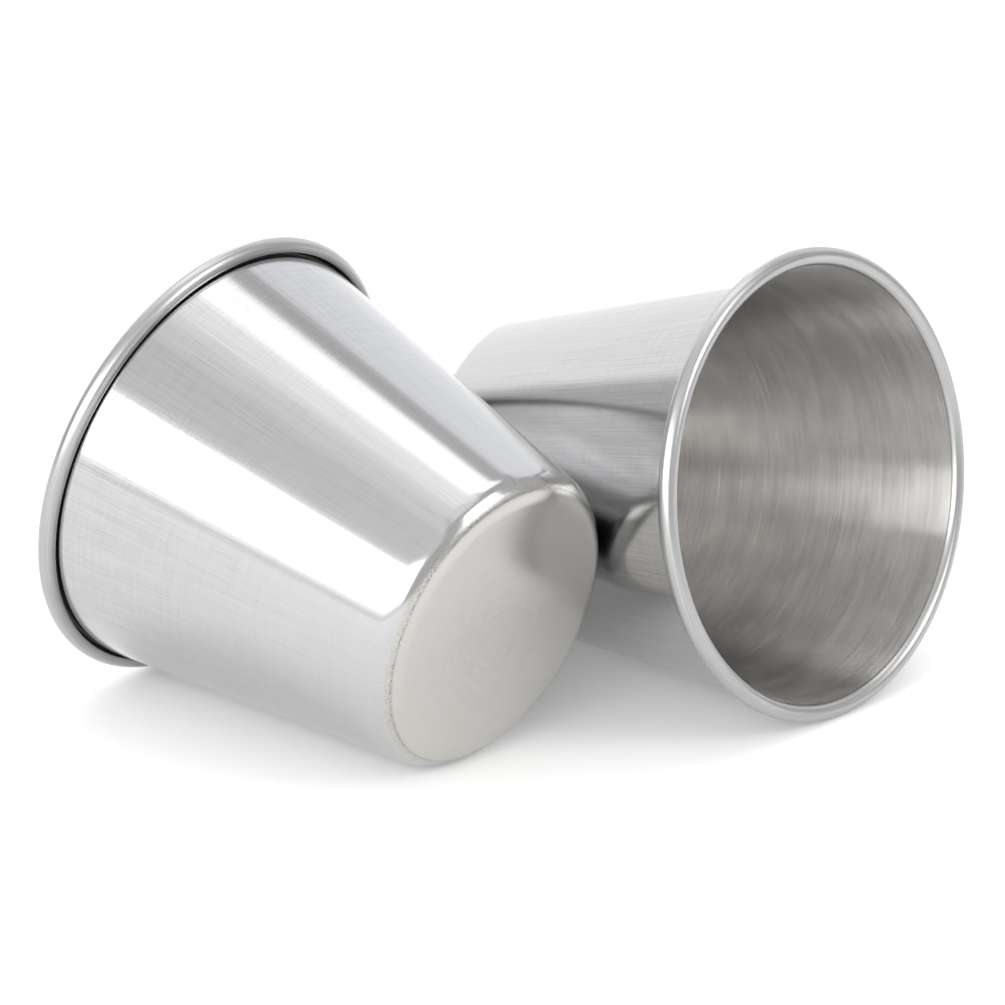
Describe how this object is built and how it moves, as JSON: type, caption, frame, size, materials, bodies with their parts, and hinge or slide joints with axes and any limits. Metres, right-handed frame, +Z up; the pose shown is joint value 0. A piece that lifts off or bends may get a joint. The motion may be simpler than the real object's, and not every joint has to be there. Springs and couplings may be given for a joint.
{
  "type": "wine cup",
  "caption": "Tapered stainless steel wine cups with flat bases and outward-rolled rims, for serving small measures of drink, lying head to tail on their sides.",
  "frame": {"origin": "on the table that the cups lie on, midway between them", "axes": "+Z up from the table, +X along the cups in plan, towards the rear cup's mouth, and +Y from the front cup towards the rear cup"},
  "size_m": [0.0684, 0.0974, 0.0539],
  "materials": {
    "stainless_steel": "drawn stainless steel, finely brushed: bright satin outside, duller satin inside and on the base, polished along the rolled rim"
  },
  "bodies": {
    "root": {"front_cup": "stainless_steel", "rear_cup": "stainless_steel"}
  },
  "joints": []
}
